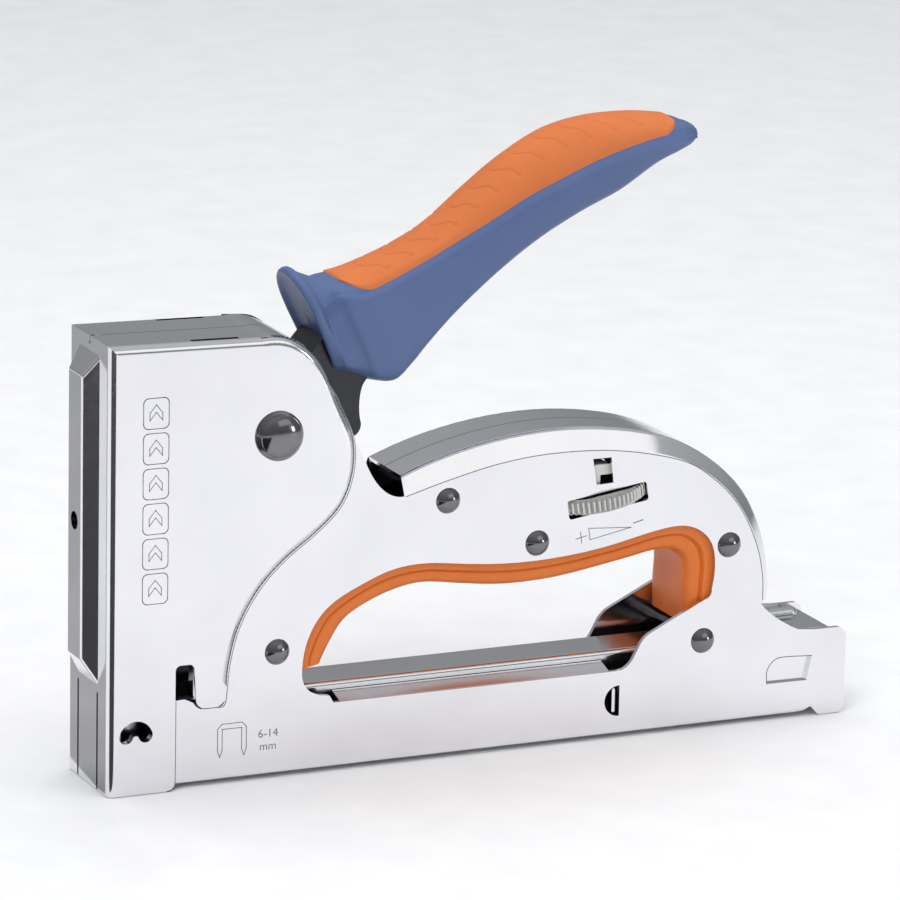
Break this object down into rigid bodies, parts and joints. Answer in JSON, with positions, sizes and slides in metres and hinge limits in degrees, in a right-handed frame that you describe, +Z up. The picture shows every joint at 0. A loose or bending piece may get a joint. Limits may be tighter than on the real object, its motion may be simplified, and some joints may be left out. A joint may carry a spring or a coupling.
{
  "type": "staple gun",
  "caption": "Hand-squeezed spring staple gun: plated steel body with finger opening, padded lever handle, power wheel and rear-loading staple magazine.",
  "frame": {"origin": "middle of the underside, at the level of the nose's working edge", "axes": "+X from nose to tail, +Y across the tool to its right, +Z up"},
  "size_m": [0.2005, 0.034, 0.1535],
  "materials": {
    "bright_plate": "bright nickel-chrome plated steel, folded sheet",
    "channel_steel": "plated steel, slightly greyer",
    "black_steel": "satin black finish on folded steel",
    "plain_steel": "bare bright steel",
    "spring_steel": "blued tempered spring steel",
    "blue_plastic": "moulded blue plastic, fine grain",
    "orange_rubber": "soft orange over-moulded pad",
    "orange_plastic": "moulded orange plastic",
    "rivet_steel": "plated domed rivet",
    "buffer_rubber": "black rubber",
    "guide_plastic": "black guide plastic",
    "wheel_steel": "knurled plated steel",
    "indicator": "pale indicator bar"
  },
  "bodies": {
    "housing": {"left_side_plate": "bright_plate", "right_side_plate": "bright_plate", "head_cover": "bright_plate", "grip_liner": "orange_plastic", "magazine_channel": "channel_steel", "nose_guide": "plain_steel", "plunger_guide_left": "guide_plastic", "plunger_guide_right": "guide_plastic", "recoil_buffer": "buffer_rubber", "lever_pivot_rivet": "rivet_steel", "pivot_bush": "plain_steel", "rivet_front": "rivet_steel", "rivet_fulcrum": "rivet_steel", "rivet_arch_middle": "rivet_steel", "rivet_arch_rear": "rivet_steel", "rivet_tail": "rivet_steel", "spacer_front": "plain_steel", "spacer_fulcrum": "plain_steel", "power_spring_main_leaf": "spring_steel", "power_spring_second_leaf": "spring_steel", "lever_return_spring": "spring_steel", "latch_bracket": "channel_steel", "catch_pin": "plain_steel", "latch_spring": "spring_steel"},
    "lever": {"lever_frame": "black_steel", "handle_sleeve": "blue_plastic", "grip_pad": "orange_rubber", "lever_nose_pin": "plain_steel", "sleeve_pin": "plain_steel"},
    "plunger": {"plunger_block": "plain_steel", "driver_blade": "plain_steel", "blade_rivets": "plain_steel"},
    "wheel": {"adjuster_wheel": "wheel_steel"},
    "screw": {"adjuster_screw": "plain_steel", "spring_saddle": "indicator"},
    "drawer": {"staple_rail": "plain_steel", "drawer_end_cap": "channel_steel", "pusher_rod": "plain_steel", "pusher_spring": "spring_steel"},
    "pusher": {"staple_pusher": "plain_steel"},
    "latch_button": {"latch_button": "plain_steel"},
    "latch_catch": {"latch_catch": "plain_steel"}
  },
  "joints": [
    {"name": "lever_squeeze", "type": "hinge", "parent": "housing", "child": "lever", "pos_m": [-0.05385, 0, 0.0847], "axis": [0, 1, 0], "range_deg": [0, 27], "stiffness_Nm_per_rad": 0.4, "springref_deg": -34.38, "deforming": ["lever_return_spring"]},
    {"name": "plunger_lift", "type": "slide", "parent": "housing", "child": "plunger", "axis": [0, 0, 1], "range_m": [0, 0.0171], "deforming": ["power_spring_main_leaf", "power_spring_second_leaf"]},
    {"name": "power_wheel_turn", "type": "hinge", "parent": "housing", "child": "wheel", "pos_m": [0.03335, 0, 0.0606], "axis": [-0.1478, 0, 0.989], "range_deg": [-540, 540]},
    {"name": "power_screw_rise", "type": "slide", "parent": "housing", "child": "screw", "axis": [-0.1478, 0, 0.989], "range_m": [-0.00226, 0.00226]},
    {"name": "magazine_drawer_slide", "type": "slide", "parent": "housing", "child": "drawer", "axis": [1, 0, 0], "range_m": [0, 0.11]},
    {"name": "pusher_slide", "type": "slide", "parent": "drawer", "child": "pusher", "axis": [1, 0, 0], "range_m": [0, 0.1], "stiffness_N_per_m": 20, "springref_m": -0.05, "deforming": ["pusher_spring"]},
    {"name": "latch_press", "type": "slide", "parent": "housing", "child": "latch_button", "axis": [-1, 0, 0], "range_m": [0, 0.00115], "stiffness_N_per_m": 300, "springref_m": -0.002, "deforming": ["latch_spring"]},
    {"name": "catch_lift", "type": "hinge", "parent": "housing", "child": "latch_catch", "pos_m": [0.06695, 0, 0.0176], "axis": [0, -1, 0], "range_deg": [0, 12.6]}
  ],
  "couplings": [
    {"joint": "plunger_lift", "follows": "lever_squeeze", "m_per_rad": 0.03616},
    {"joint": "power_screw_rise", "follows": "power_wheel_turn", "m_per_rad": 0.00023873},
    {"joint": "catch_lift", "follows": "latch_press", "rad_per_m": 185.2}
  ]
}
